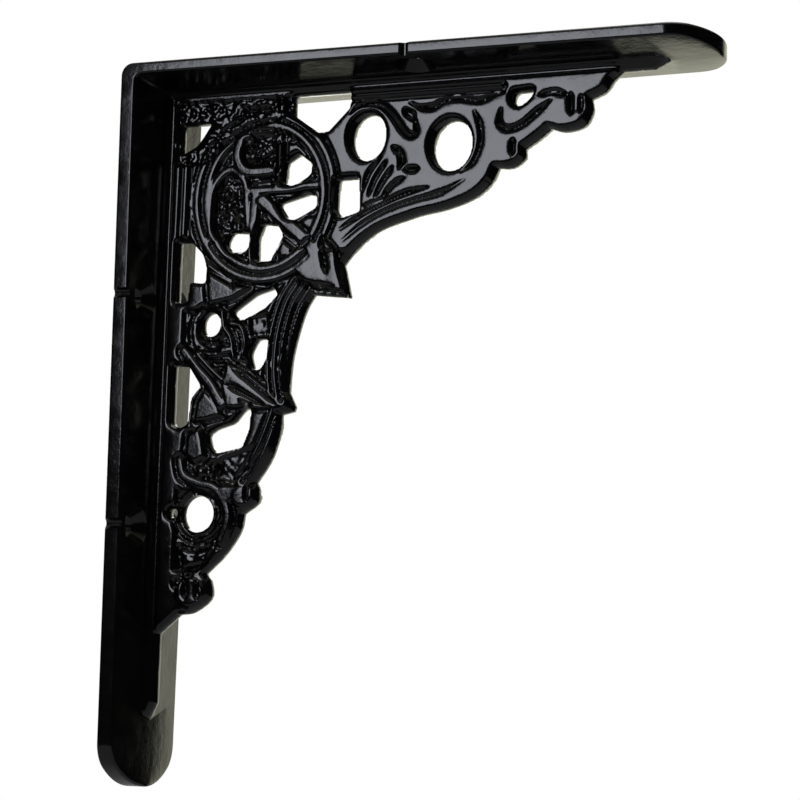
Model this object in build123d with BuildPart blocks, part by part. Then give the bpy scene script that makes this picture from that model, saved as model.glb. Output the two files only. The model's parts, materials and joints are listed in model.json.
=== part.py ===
"""Cast iron shelf bracket: two tapered flanges joined by an openwork scroll web, cast in one piece.

Frame: X out from the wall, Y along the shelf, Z up. The origin is on the wall face, at the middle
of the four wall screw holes. Sizes are in millimetres. The ornament is drawn on the bracket's
middle plane as (out, drop) pairs: out from the wall face, drop below the shelf face.
"""

from build123d import *
from math import atan2, cos, radians, sin, tan
import os

# Arms, measured from the outer corner where the wall face meets the shelf face
WALL_ARM = 152.0
SHELF_ARM = 127.0
FLANGE_WIDTH_CORNER = 33.0
FLANGE_WIDTH_END = 28.5
TAPER_START = 6.0
ARM_END_BOW = 6.0
ARM_END_CORNER = 6.5
WALL_EDGE = 3.4
SHELF_EDGE = 2.5
DRAFT_RISE = 1.35
OUTER_CORNER_RADIUS = 2.6
INNER_CORNER_RADIUS = 1.6
RIM_BEVEL = 0.5

# Spine: the plain rib that runs down the middle of both flanges
SPINE_WIDTH = 4.0
SPINE_RISE = 1.6
WALL_SPINE_END = 137.7
SHELF_SPINE_END = 116.0
SPINE_SLOPE = 3.2

# Screw holes, and the small notches in the flange rims beside them
SCREW_RADIUS = 2.4
SCREW_HEAD_RADIUS = 4.4
SCREW_HEAD_ANGLE = 90.0
SCREW_TOP_CLEAR = 0.5
SCREW_SIDE = 8.7
UPPER_SCREW_DROP = 49.5
LOWER_SCREW_DROP = 98.0
SHELF_SCREW_OUT = 64.0
NOTCH_RADIUS = 1.1

# Web heights, measured from the middle plane and the same on both faces
WEB_HALF = 1.7
RELIEF_HALF = 2.6
CREST_HALF = 3.1
LEAF_BEVEL = 0.8

# Medallion ring in the corner, a double strand
RING_CENTRE = (28.1, 27.5)
RING_RADII = (17.1, 19.0)
RING_BAND = 4.7
STRAND_GROOVE = 0.7
GROOVE_DEPTH = 0.7

SCREW_TOP_RADIUS = SCREW_HEAD_RADIUS + SCREW_TOP_CLEAR * tan(radians(SCREW_HEAD_ANGLE / 2))
WALL_CENTRE = WALL_EDGE + DRAFT_RISE
SHELF_CENTRE = SHELF_EDGE + DRAFT_RISE
CORNER_UP = (UPPER_SCREW_DROP + LOWER_SCREW_DROP) / 2
SCREW_ROW_GAP = LOWER_SCREW_DROP - UPPER_SCREW_DROP
WEB_PLANE = Plane(origin=(0, 0, CORNER_UP), x_dir=(1, 0, 0), z_dir=(0, -1, 0))
WALL_FACE = Plane(origin=(0, 0, CORNER_UP), x_dir=(0, 1, 0), z_dir=(1, 0, 0))
SHELF_FACE = Plane(origin=(0, 0, CORNER_UP), x_dir=(0, 1, 0), z_dir=(0, 0, 1))
WALL_SECTION = Plane(origin=(0, 0, CORNER_UP), x_dir=(0, 1, 0), z_dir=(0, 0, -1))
SHELF_SECTION = Plane(origin=(0, 0, CORNER_UP), x_dir=(0, -1, 0), z_dir=(1, 0, 0))

# Openings in the web, each a ring of (out, drop) corners and how much is taken off those corners. The
# ones beside the spine leave a margin of web standing along it.
WEB_MARGIN = 1.4
SPINE_OUT = WALL_CENTRE + SPINE_RISE
SPINE_DROP = SHELF_CENTRE + SPINE_RISE
BESIDE_SPINE = SPINE_OUT + WEB_MARGIN
OPENINGS = [
    ([(33.6, SPINE_DROP), (33.6, 9.8), (39.6, 14.2), (42.2, 14.2), (47.0, 9.4), (47.0, SPINE_DROP)], 0.5),
    ([(BESIDE_SPINE, 10.2), (14.6, 10.2), (12.8, 13.1), (11.2, 15.4), (BESIDE_SPINE, 17.4)], 0.4),
    ([(44.2, 24.3), (49.4, 24.3), (49.8, 31.6), (45.7, 32.9), (44.0, 31.0)], 0.4),
    ([(35.2, 18.0), (38.5, 20.8), (38.2, 23.4), (34.2, 25.3), (31.9, 24.4), (32.3, 20.2)], 0.5),
    ([(31.0, 28.9), (37.5, 27.0), (39.5, 27.3), (39.6, 30.4), (34.6, 32.7), (33.0, 32.2)], 0.4),
    ([(27.2, 32.9), (31.0, 33.5), (32.3, 35.9), (29.6, 41.3), (26.2, 41.3), (26.3, 36.0)], 0.4),
    ([(20.2, 34.6), (24.4, 34.9), (24.5, 37.2), (23.4, 39.2), (20.4, 39.2), (19.0, 37.2)], 0.4),
    ([(BESIDE_SPINE, 35.8), (10.8, 35.9), (13.6, 38.8), (14.7, 42.0), (14.4, 45.4), (11.2, 45.2),
      (10.6, 49.4), (BESIDE_SPINE, 49.4)], 0.4),
    ([(20.6, 52.0), (26.0, 48.2), (30.3, 46.9), (31.4, 48.6), (29.0, 51.0), (25.2, 53.0), (22.6, 53.8)], 0.4),
    ([(26.7, 57.6), (29.5, 57.8), (29.2, 62.0), (28.0, 64.5), (26.2, 64.5), (25.2, 61.0)], 0.4),
    ([(BESIDE_SPINE, 62.6), (11.3, 63.0), (14.4, 67.6), (12.3, 70.2), (11.7, 75.6), (9.6, 76.7),
      (BESIDE_SPINE, 75.6)], 0.4),
    ([(16.1, 78.2), (18.0, 76.8), (22.0, 75.4), (24.4, 72.6), (26.3, 72.8), (26.0, 77.0), (24.4, 80.8),
      (18.6, 82.0), (16.8, 80.6)], 0.4),
    ([(83.4, 8.2), (87.9, 8.1), (86.8, 10.4), (84.8, 11.7), (83.3, 10.8)], 0.3),
]
# Oval openings: centre, half width, half height
OVAL_END_SHARE = 0.88
OVAL_OPENINGS = [
    ((51.2, 15.8), 4.0, 5.0),
    ((70.0, 18.7), 4.5, 5.4),
    ((16.2, 54.5), 2.3, 2.7),
    ((14.7, 94.8), 3.7, 4.0),
    ((8.9, 94.6), 1.1, 1.3),
]

# Borders along the free edge, three strands side by side: points along the middle line, and width
BORDERS = [
    ([(45.0, 38.2), (48.6, 34.9), (62.0, 29.4), (73.4, 26.0)], 4.2),
    ([(36.8, 46.6), (34.6, 50.0), (32.0, 68.0)], 4.2),
]
# Raised scrolls, stems and veins: points along the middle line, width, height from the middle plane
RIBBONS = [
    ([(43.6, 23.0), (44.1, 17.0), (51.4, 9.9), (58.6, 15.0), (60.4, 19.0)], 3.2, CREST_HALF),
    ([(80.2, 10.2), (80.6, 13.2), (86.6, 15.6), (94.8, 10.2)], 3.2, CREST_HALF),
    ([(76.6, 16.8), (83.0, 20.8)], 4.0, RELIEF_HALF),
    ([(32.8, 73.0), (31.4, 77.6), (25.6, 87.8)], 3.4, RELIEF_HALF),
    ([(28.4, 30.2), (38.6, 38.8)], 2.6, CREST_HALF),
    ([(31.1, 8.6), (31.1, 23.6)], 2.1, CREST_HALF),
    ([(25.6, 14.0), (24.4, 14.1), (23.0, 20.4), (29.8, 21.7)], 2.2, RELIEF_HALF),
    ([(27.0, 18.3), (31.2, 15.4)], 1.6, RELIEF_HALF),
    ([(24.6, 26.2), (35.6, 26.4)], 2.0, RELIEF_HALF),
    ([(25.4, 26.4), (25.4, 42.2)], 2.4, RELIEF_HALF),
    ([(15.7, 36.0), (15.7, 25.0), (20.0, 20.4), (24.2, 25.0)], 1.8, RELIEF_HALF),
    ([(10.4, 60.4), (19.6, 71.6)], 1.9, RELIEF_HALF),
    ([(13.6, 60.8), (26.0, 70.8)], 1.9, RELIEF_HALF),
    ([(10.6, 86.6), (15.4, 88.2), (21.9, 95.0), (18.6, 102.6)], 2.3, RELIEF_HALF),
    ([(51.6, 27.4), (55.0, 18.8)], 1.5, RELIEF_HALF),
    ([(54.4, 27.4), (58.4, 20.6)], 1.5, RELIEF_HALF),
    ([(61.2, 9.8), (76.0, 9.6)], 1.4, RELIEF_HALF),
]
# Raised leaves: ring of corners and the height from the middle plane
LEAVES = [
    ([(41.0, 35.0), (45.2, 40.5), (47.0, 48.6), (39.2, 47.6), (34.9, 43.2), (38.6, 40.6)], CREST_HALF),
    ([(15.2, 42.6), (20.5, 45.9), (26.4, 46.8), (21.5, 49.9), (15.6, 50.8)], RELIEF_HALF),
    ([(20.6, 62.4), (26.0, 65.2), (31.0, 69.0), (35.6, 73.0), (28.0, 72.6), (19.5, 71.8)], CREST_HALF),
    ([(10.6, 101.4), (14.6, 102.4), (19.4, 101.4), (16.8, 105.8), (11.2, 107.2)], RELIEF_HALF),
    ([(36.0, 33.2), (38.4, 31.6), (40.4, 33.4), (39.6, 35.6), (37.2, 35.4)], RELIEF_HALF),
    ([(31.0, 38.4), (32.8, 36.8), (35.2, 38.0), (35.0, 40.6), (32.2, 41.0)], RELIEF_HALF),
    ([(22.8, 15.2), (25.4, 15.2), (26.2, 17.6), (23.8, 19.2)], RELIEF_HALF),
    ([(19.2, 56.0), (21.8, 54.6), (24.8, 57.6), (23.4, 60.8), (20.2, 60.2)], RELIEF_HALF),
    ([(13.8, 70.6), (15.6, 67.6), (18.6, 70.2), (18.2, 74.6), (13.0, 75.6)], RELIEF_HALF),
    ([(11.2, 78.6), (14.8, 76.8), (16.0, 80.8), (14.2, 84.8), (11.0, 83.4)], RELIEF_HALF),
]
# Scroll eyes: centre, half width and half height of the raised rim
EYE_RIM = 2.0
SCROLL_EYES = [
    ((70.2, 18.6), 7.0, 8.2),
    ((16.4, 55.0), 4.9, 5.2),
]
# Knobs at the ends of the scrolls: centre, radius, height from the middle plane, bevel
KNOBS = [
    ((95.3, 12.8), 4.5, 3.9, 1.3),
    ((82.7, 21.0), 3.1, 3.3, 0),
    ((25.3, 91.4), 3.0, 3.3, 0),
    ((14.2, 111.5), 3.9, 3.5, 1.2),
]


def points(pairs):
    """(out, drop) pairs as points on the web plane, whose second axis runs up."""
    return [(out, -drop) for out, drop in pairs]


def flange_section(edge):
    """Section of a flange: flat on the outside, drafted to both rims on the inside."""
    half = FLANGE_WIDTH_CORNER / 2
    return Polyline((-half, 0), (half, 0), (half, edge), (0, edge + DRAFT_RISE), (-half, edge), close=True)


def flange_outline(length):
    """Tapered outline of a flange with a bowed end."""
    corner, end = FLANGE_WIDTH_CORNER / 2, FLANGE_WIDTH_END / 2
    straight = length - ARM_END_BOW
    Polyline((-end, -straight), (-corner, -TAPER_START), (-corner, 0),
             (corner, 0), (corner, -TAPER_START), (end, -straight))
    ThreePointArc((-end, -straight), (0, -length), (end, -straight))


def flange(section_plane, face_plane, length, edge):
    """One flange: its section run along the arm, then cut to the tapered outline."""
    with BuildPart() as blank:
        with BuildSketch(section_plane):
            with BuildLine():
                flange_section(edge)
            make_face()
        extrude(amount=length)
        with BuildSketch(face_plane) as outline:
            with BuildLine():
                flange_outline(length)
            make_face()
            fillet(outline.vertices().group_by(Axis.Y)[0], ARM_END_CORNER)
        extrude(amount=edge + DRAFT_RISE, both=True, mode=Mode.INTERSECT)
    return blank.part


def smooth_path(path):
    """A straight start, then an arc to every further point, each one tangent to the run before it."""
    spots = points(path)
    run = Line(*spots[:2])
    for spot in spots[2:]:
        run = TangentArc(run @ 1, spot, tangent=run % 1)


def ribbon(path, width, height):
    """Raised band that follows a smooth line, the same on both faces."""
    with BuildPart() as band:
        with BuildSketch(WEB_PLANE):
            with BuildLine():
                smooth_path(path)
            trace(line_width=width)
        extrude(amount=height, both=True)
    return band.part


def border(path, width):
    """Band of three strands with grooves between them, the same on both faces."""
    strand = (width - 2 * STRAND_GROOVE) / 3
    with BuildPart() as band:
        add(ribbon(path, width, RELIEF_HALF - GROOVE_DEPTH))
        with BuildSketch(WEB_PLANE):
            with BuildLine() as middle:
                smooth_path(path)
            trace(line_width=width)
            trace(middle.line, line_width=strand + 2 * STRAND_GROOVE, mode=Mode.SUBTRACT)
            trace(middle.line, line_width=strand)
        extrude(amount=RELIEF_HALF, both=True)
    return band.part


def leaf(outline, height):
    """Raised leaf with bevelled edges, the same on both faces."""
    with BuildPart() as blade:
        with BuildSketch(WEB_PLANE):
            with BuildLine():
                Polyline(*points(outline), close=True)
            make_face()
        extrude(amount=height, both=True)
        chamfer(blade.faces().filter_by(Axis.Y).edges(), LEAF_BEVEL)
    return blade.part


def oval(centre, half_width, half_height):
    """Upright oval of four arcs, each one tangent to the next."""
    end = OVAL_END_SHARE * half_width
    rise = half_height - end
    side = (half_width**2 + rise**2 - end**2) / (2 * (half_width - end))
    turn = atan2(rise, side - half_width)
    out, up = end * cos(turn), rise + end * sin(turn)
    ring = [(out, -up), (half_width, 0), (out, up), (0, half_height), (-out, up), (-half_width, 0),
            (-out, -up), (0, -half_height), (out, -up)]
    spots = points([(centre[0] + x, centre[1] + y) for x, y in ring])
    for start in range(0, 8, 2):
        ThreePointArc(*spots[start:start + 3])


def oval_rim(centre, radii, width, height):
    """Raised oval rim, the same on both faces."""
    with BuildPart() as rim:
        with BuildSketch(WEB_PLANE):
            with BuildLine():
                oval(centre, *radii)
            make_face()
            with BuildLine():
                oval(centre, *[radius - width for radius in radii])
            make_face(mode=Mode.SUBTRACT)
        extrude(amount=height, both=True)
    return rim.part


def knob(centre, radius, height, bevel):
    """Round boss, the same on both faces, whose edges may be bevelled."""
    with BuildPart() as boss:
        with BuildSketch(WEB_PLANE):
            with Locations(*points([centre])):
                Circle(radius)
        extrude(amount=height, both=True)
        if bevel:
            chamfer(boss.edges().filter_by(GeomType.CIRCLE), bevel)
    return boss.part


def screw_top(edge):
    """Height of the top of a screw's cone, a little clear of the drafted face where the head sits."""
    return edge + DRAFT_RISE * (1 - SCREW_SIDE / (FLANGE_WIDTH_CORNER / 2)) + SCREW_TOP_CLEAR


def half_width_at(along, length):
    """Half the width of a flange at a distance from the outer corner."""
    taper = (FLANGE_WIDTH_CORNER - FLANGE_WIDTH_END) / (length - ARM_END_BOW - TAPER_START)
    return (FLANGE_WIDTH_CORNER - taper * (along - TAPER_START)) / 2


# The two flanges, joined at a rounded corner, with their holes and notches
with BuildPart() as angle:
    add(flange(WALL_SECTION, WALL_FACE, WALL_ARM, WALL_EDGE))
    add(flange(SHELF_SECTION, SHELF_FACE, SHELF_ARM, SHELF_EDGE))
    across = angle.edges().filter_by(Axis.Y)
    fillet(across.group_by(Axis.X)[0].sort_by(Axis.Z)[-1], OUTER_CORNER_RADIUS)
    valleys = angle.edges().filter_by(GeomType.LINE)
    valleys = valleys.filter_by(lambda edge: edge.length < FLANGE_WIDTH_CORNER)
    valleys = valleys.filter_by(lambda edge: abs(edge.center().Y) > SPINE_WIDTH)
    valleys = valleys.filter_by(lambda edge: abs(edge.tangent_at(0).Y) > 0.9)
    fillet(valleys, INNER_CORNER_RADIUS)
    outer_rim = angle.faces().sort_by(Axis.X)[0].edges().filter_by(lambda edge: edge.center().Y != 0)
    chamfer(outer_rim.filter_by(lambda edge: abs(edge.center().Y) > SPINE_WIDTH), RIM_BEVEL)
    # Screws in the wall flange: two rows of two, countersunk on the room side
    wall_seat = Plane(origin=(screw_top(WALL_EDGE), 0, 0), x_dir=(0, 1, 0), z_dir=(1, 0, 0))
    with Locations(wall_seat):
        with GridLocations(2 * SCREW_SIDE, SCREW_ROW_GAP, 2, 2):
            CounterSinkHole(SCREW_RADIUS, SCREW_TOP_RADIUS, counter_sink_angle=SCREW_HEAD_ANGLE)
    # Screws in the shelf flange: one row of two, countersunk from below
    shelf_seat = Plane(
        origin=(SHELF_SCREW_OUT, 0, CORNER_UP - screw_top(SHELF_EDGE)), x_dir=(0, 1, 0), z_dir=(0, 0, -1)
    )
    with Locations(shelf_seat):
        with GridLocations(2 * SCREW_SIDE, 1, 2, 1):
            CounterSinkHole(SCREW_RADIUS, SCREW_TOP_RADIUS, counter_sink_angle=SCREW_HEAD_ANGLE)
    # A small half-round notch in each rim, level with each row of screws
    with BuildSketch(WALL_FACE):
        for drop in (UPPER_SCREW_DROP, LOWER_SCREW_DROP):
            with Locations((0, -drop)):
                with GridLocations(2 * half_width_at(drop, WALL_ARM), 1, 2, 1):
                    Circle(NOTCH_RADIUS)
    extrude(amount=WALL_CENTRE, mode=Mode.SUBTRACT)
    with BuildSketch(SHELF_FACE):
        with Locations((0, -SHELF_SCREW_OUT)):
            with GridLocations(2 * half_width_at(SHELF_SCREW_OUT, SHELF_ARM), 1, 2, 1):
                Circle(NOTCH_RADIUS)
    extrude(amount=-SHELF_CENTRE, mode=Mode.SUBTRACT)

# Spine: one L-shaped rib with a sloped foot at each end
with BuildPart() as spine:
    with BuildSketch(WEB_PLANE):
        with BuildLine():
            Polyline(
                *points([
                    (WALL_EDGE, SHELF_EDGE),
                    (WALL_EDGE, WALL_SPINE_END),
                    (WALL_CENTRE, WALL_SPINE_END),
                    (SPINE_OUT, WALL_SPINE_END - SPINE_SLOPE),
                    (SPINE_OUT, SPINE_DROP),
                    (SHELF_SPINE_END - SPINE_SLOPE, SPINE_DROP),
                    (SHELF_SPINE_END, SHELF_CENTRE),
                    (SHELF_SPINE_END, SHELF_EDGE),
                ]),
                close=True,
            )
        make_face()
    extrude(amount=SPINE_WIDTH / 2, both=True)

# Web plate: the outline of the ornament with its openings
with BuildPart() as web:
    with BuildSketch(WEB_PLANE):
        with BuildLine():
            Polyline(*points([(16.7, 107.4), (11.4, 116.0), (SPINE_OUT, 120.0), (WALL_EDGE, 120.0),
                              (WALL_EDGE, SHELF_EDGE), (106.5, SHELF_EDGE), (106.5, SPINE_DROP),
                              (102.0, 9.6), (95.3, 12.6), (90.9, 16.4), (85.6, 20.2), (82.6, 20.8),
                              (79.8, 24.2)]))
            ThreePointArc(*points([(79.8, 24.2), (73.6, 30.3), (62.0, 33.2)]))
            ThreePointArc(*points([(62.0, 33.2), (52.5, 36.4), (46.0, 42.6)]))
            Polyline(*points([(46.0, 42.6), (47.7, 49.7), (39.7, 48.8)]))
            ThreePointArc(*points([(39.7, 48.8), (36.0, 57.6), (34.3, 69.2)]))
            Polyline(*points([(34.3, 69.2), (35.8, 72.8), (32.9, 74.0)]))
            ThreePointArc(*points([(32.9, 74.0), (31.6, 81.7), (27.9, 88.3)]))
            Polyline(*points([(27.9, 88.3), (25.2, 91.3), (25.2, 94.6)]))
            ThreePointArc(*points([(25.2, 94.6), (22.2, 101.9), (16.7, 107.4)]))
        make_face()
    extrude(amount=WEB_HALF, both=True)

# Everything that is cut from the web and its relief
with BuildPart() as web_cuts:
    with BuildSketch(WEB_PLANE) as cut_outlines:
        for corners, bevel in OPENINGS:
            with BuildLine():
                Polyline(*points(corners), close=True)
            make_face()
            chamfer(cut_outlines.vertices(Select.LAST), bevel)
        for shape in OVAL_OPENINGS:
            with BuildLine():
                oval(*shape)
            make_face()
    extrude(amount=2 * CREST_HALF, both=True)

# Medallion ring in the corner: two strands with a groove between them
ring_strand = (RING_BAND - STRAND_GROOVE) / 2
ring_inner = [radius - ring_strand - STRAND_GROOVE for radius in RING_RADII]
rims = [
    oval_rim(RING_CENTRE, RING_RADII, ring_strand, CREST_HALF),
    oval_rim(RING_CENTRE, ring_inner, ring_strand, CREST_HALF),
    oval_rim(RING_CENTRE, RING_RADII, RING_BAND, CREST_HALF - GROOVE_DEPTH),
]
for eye_centre, eye_half_width, eye_half_height in SCROLL_EYES:
    rims.append(oval_rim(eye_centre, (eye_half_width, eye_half_height), EYE_RIM, CREST_HALF))

# Openwork: the plate with everything raised on it, then the openings cut through both
with BuildPart() as openwork:
    add([ribbon(*shape) for shape in RIBBONS])
    add([border(*shape) for shape in BORDERS])
    add([leaf(*shape) for shape in LEAVES])
    add([knob(*shape) for shape in KNOBS])
    add(rims)
    add(web.part)
    add(web_cuts.part, mode=Mode.SUBTRACT)

# The casting
with BuildPart() as shelf_bracket:
    add(angle.part)
    add(spine.part)
    add(openwork.part)

shelf_bracket.part.label = "shelf_bracket"
os.makedirs("parts", exist_ok=True)
export_step(shelf_bracket.part, "parts/shelf_bracket.step")
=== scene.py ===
"""Cast iron shelf bracket, in gloss black paint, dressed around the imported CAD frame.

The casting is rebuilt as one finely carved mesh, which stands for the CAD solid. Sizes are in
millimetres until the mesh is made. The ornament is drawn as (out, drop) pairs on the bracket's
middle plane: out from the wall face, and drop below the shelf face.
"""

import json
import math

import bpy
import numpy as np
from mathutils import Matrix, Vector


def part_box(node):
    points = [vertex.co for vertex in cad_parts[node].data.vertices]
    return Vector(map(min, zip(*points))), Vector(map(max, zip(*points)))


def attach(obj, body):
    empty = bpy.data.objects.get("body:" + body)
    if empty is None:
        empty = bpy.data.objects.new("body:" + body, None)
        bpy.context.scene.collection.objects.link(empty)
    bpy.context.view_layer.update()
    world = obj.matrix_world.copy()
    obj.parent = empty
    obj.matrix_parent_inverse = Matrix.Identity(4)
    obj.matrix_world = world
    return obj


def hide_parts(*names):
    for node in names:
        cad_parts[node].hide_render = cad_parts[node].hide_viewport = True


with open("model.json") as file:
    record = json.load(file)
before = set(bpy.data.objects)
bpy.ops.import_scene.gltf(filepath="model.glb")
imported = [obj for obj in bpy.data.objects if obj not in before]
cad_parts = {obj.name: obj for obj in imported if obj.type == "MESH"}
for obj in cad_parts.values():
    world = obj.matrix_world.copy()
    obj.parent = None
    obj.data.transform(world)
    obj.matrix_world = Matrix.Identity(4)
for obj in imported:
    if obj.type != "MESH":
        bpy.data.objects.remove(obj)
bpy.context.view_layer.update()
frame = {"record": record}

MM = 0.001
low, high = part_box("shelf_bracket")
CORNER_UP = high[2] / MM
WALL_ARM = (high[2] - low[2]) / MM
SHELF_ARM = high[0] / MM
FLANGE_WIDTH_CORNER = (high[1] - low[1]) / MM
MOUNTS = {mount["name"]: mount for mount in frame["record"]["mounts"]}

# Flanges
FLANGE_WIDTH_END = 28.5
TAPER_START = 6.0
ARM_END_BOW = 6.0
ARM_END_CORNER = 6.5
WALL_EDGE = 3.4
SHELF_EDGE = 2.5
DRAFT_RISE = 1.35
OUTER_CORNER_RADIUS = 2.6
INNER_CORNER_RADIUS = 1.6
RIM_RADIUS = 0.7
INNER_RIM_RADIUS = 0.5
RIM_STEPS = 4
CORNER_STEPS = 9
BOW_STEPS = 16
ARM_CORNER_STEPS = 12
ARM_STEPS = 30
NOTCH_RADIUS = 1.1
NOTCH_LENGTH = 8
NOTCH_STEPS = 24
SCREW_HEAD_RADIUS = 4.4
SCREW_LIP = 0.35
SCREW_STEPS = 48
CUT_CLEARANCE = 1
CUT_ABOVE_SEAT = 4
SHARP_ANGLE = 42

# Spine: the plain rib down the middle of both flanges
SPINE_HALF = 2.0
SPINE_RISE = 1.6
SPINE_SLOPE = 3.2
WALL_SPINE_END = 137.7
SHELF_SPINE_END = 116.0

# Web: heights of its ground from the middle plane
SUNK_GROUND = 1.5
GROUND = 2.3
SHELF_GROUND = 2.9
# Where the high ground of the shelf arm starts, and the outside of the ring that it stops at
SHELF_GROUND_OUT = 41.5
SHELF_GROUND_DROP = 40
RING_CENTRE = (28.1, 27.5)
RING_HALF_WIDTH = 17.1
RING_HALF_HEIGHT = 19.0
# Stipple on the sunk ground: height and pitch of each layer of lumps, and the field it covers
STIPPLE = [(0.3, 0.9), (0.15, 0.6)]
FIELD_OUT = 140
FIELD_DROP = 160
SUNK_CORNER = 0.8
SUNK_SLOPE = 0.4
# Raised work: the moat round it, its shoulders, and the furrows between strands
MOAT_DEPTH = 0.6
MOAT_WIDTH = 0.8
SHOULDER = 0.5
STRAND_NOTCH = 0.6
STRAND_NOTCH_HALF = 0.55
LEAF_CORNER = 0.6
LOBE_FULLNESS = 2.2
KNOB_SHOULDER = 1.2
# Shallow roll beside grooves and edges, and how grooves thin out towards their ends
ROLL_DEPTH = 0.13
ROLL_WIDTH = 1.7
GROOVE_TAPER = 5
GROOVE_END = 0.3
# Edges of the web, and its fillet on the flanges
EDGE_HALF = 1.1
EDGE_ROUND = 1.3
PARTING_RIDGE = 0.12
FILLET = 1.1
WEB_OVERLAP = 1.0
# Grid that the web is carved on
GRID = 0.26
GRID_OUT = (1.5, 118.5)
GRID_DROP = (0.5, 140.0)
RIM_REACH = 1.2
LEAST_STEEPNESS = 0.3
SOFTEN_PASSES = 2
WEB_TRIANGLES = 165000

# Paint: noise scales, the stretch of each noise that is used, and what it is spread over. The two
# bumps have a strength and a distance in metres.
PAINT_IOR = 1.5
TINT_SCALE = 60
TINT_SPAN = (0.35, 0.7)
PAINT_DARK = (0.001, 0.001, 0.0011, 1)
PAINT_LIGHT = (0.0025, 0.0024, 0.0026, 1)
GLOSS_SCALE = 220
GLOSS_SPAN = (0.3, 0.7)
PAINT_ROUGHNESS = (0.11, 0.19)
GRAIN_SCALE = 1500
GRAIN_STRENGTH = 0.1
GRAIN_DISTANCE = 0.0002
WAVE_SCALE = 260
WAVE_STRENGTH = 0.11
WAVE_DISTANCE = 0.0006

# Camera, in degrees, millimetres of lens and metres
VIEW_AZIMUTH = 21.56
VIEW_ELEVATION = -8.07
VIEW_ROLL = 1.605
VIEW_LENS = 112.5
VIEW_SENSOR = 36
VIEW_NEAREST = 0.01
VIEW_PLACE = (0.2468, -0.4743, -0.0701)

# Floor, in metres: its own tone, its tone in the gloss, and the lift that turns it white to the camera
FLOOR_GAP = 0.06
FLOOR_SIZE = 0.64
FLOOR_TONE = 0.85
FLOOR_IN_GLOSS = 0.28
FLOOR_ROUGHNESS = 0.9
FLOOR_SPECULAR = 0.1
FLOOR_LIFT = 0.5

# Lamps: name, place and target in metres, size, watts, colour
WHITE = (1, 1, 1)
LAMPS = [
    ("key", (-0.115, -0.57, 0.17), (0.05, 0, 0.02), 0.24, 1.05, (0.89, 0.91, 1.0)),
    ("top", (0.1, 0.2, 1.1), (0.05, 0, 0), 0.6, 4, WHITE),
    ("rear", (-0.5, 0.9, 0.4), (0.05, 0, 0), 0.7, 3, WHITE),
]
AMBIENT_COLOUR = (0.93, 0.95, 1, 1)
AMBIENT_LEVEL = 0.5

# Surround as the gloss shows it: a white sheet behind the bracket, a soft ceiling and a dim room, all a
# little warm. The squash makes the sheet wider than it is high. Angles are in degrees.
GLOSS_TINT = (1, 1, 0.8, 1)
SHEET_SQUASH = (1, 1, 1.35)
SHEET_TOWARDS = (-0.174, 0.985, 0.02)
SHEET_HALF_ANGLE = 28
SHEET_SOFT_ANGLE = 8
SHEET_LEVEL = 0.9
ROOM_LEVEL = 0.005
CEILING_LEVEL = 0.4
CEILING_FROM = 25
CEILING_FULL = 70

SPINE_OUT = WALL_EDGE + DRAFT_RISE + SPINE_RISE
SPINE_DROP = SHELF_EDGE + DRAFT_RISE + SPINE_RISE

# Free outline of the web from the wall spine to the shelf spine: a line joins its points straight, and
# a round runs a smooth curve through them.
OUTLINE = [
    ("line", [(SPINE_OUT, 120.0), (11.0, 116.0)]),
    ("round", [(11.0, 116.0), (14.4, 115.4), (18.0, 112.6), (17.9, 109.2), (16.7, 107.4)]),
    ("round", [(16.7, 107.4), (21.0, 103.3), (24.2, 98.6), (25.0, 94.8)]),
    ("round", [(25.0, 94.8), (28.0, 92.6), (28.2, 89.8), (27.6, 88.3)]),
    ("round", [(27.6, 88.3), (30.9, 83.2), (32.6, 77.6), (32.9, 74.0)]),
    ("line", [(32.9, 74.0), (35.6, 73.4), (35.9, 72.4), (34.3, 69.2)]),
    ("round", [(34.3, 69.2), (34.8, 62.6), (36.0, 57.0), (37.6, 52.0), (39.4, 48.8)]),
    ("line", [(39.4, 48.8), (47.7, 49.7), (46.6, 44.8), (46.0, 42.6)]),
    ("round", [(46.0, 42.6), (49.2, 38.9), (54.2, 35.5), (62.5, 33.0)]),
    ("round", [(62.5, 33.0), (69.2, 31.8), (74.8, 29.8), (78.2, 27.0), (79.8, 24.0)]),
    ("round", [(79.8, 24.0), (82.9, 24.0), (85.5, 22.2), (85.6, 20.2)]),
    ("round", [(85.6, 20.2), (88.4, 18.4), (91.0, 16.4)]),
    ("round", [(91.0, 16.4), (94.2, 17.2), (98.2, 16.2), (99.9, 13.2), (99.6, 10.7)]),
    ("round", [(99.6, 10.7), (102.6, 9.3), (104.2, 7.2), (106.2, SPINE_DROP)]),
]

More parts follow.
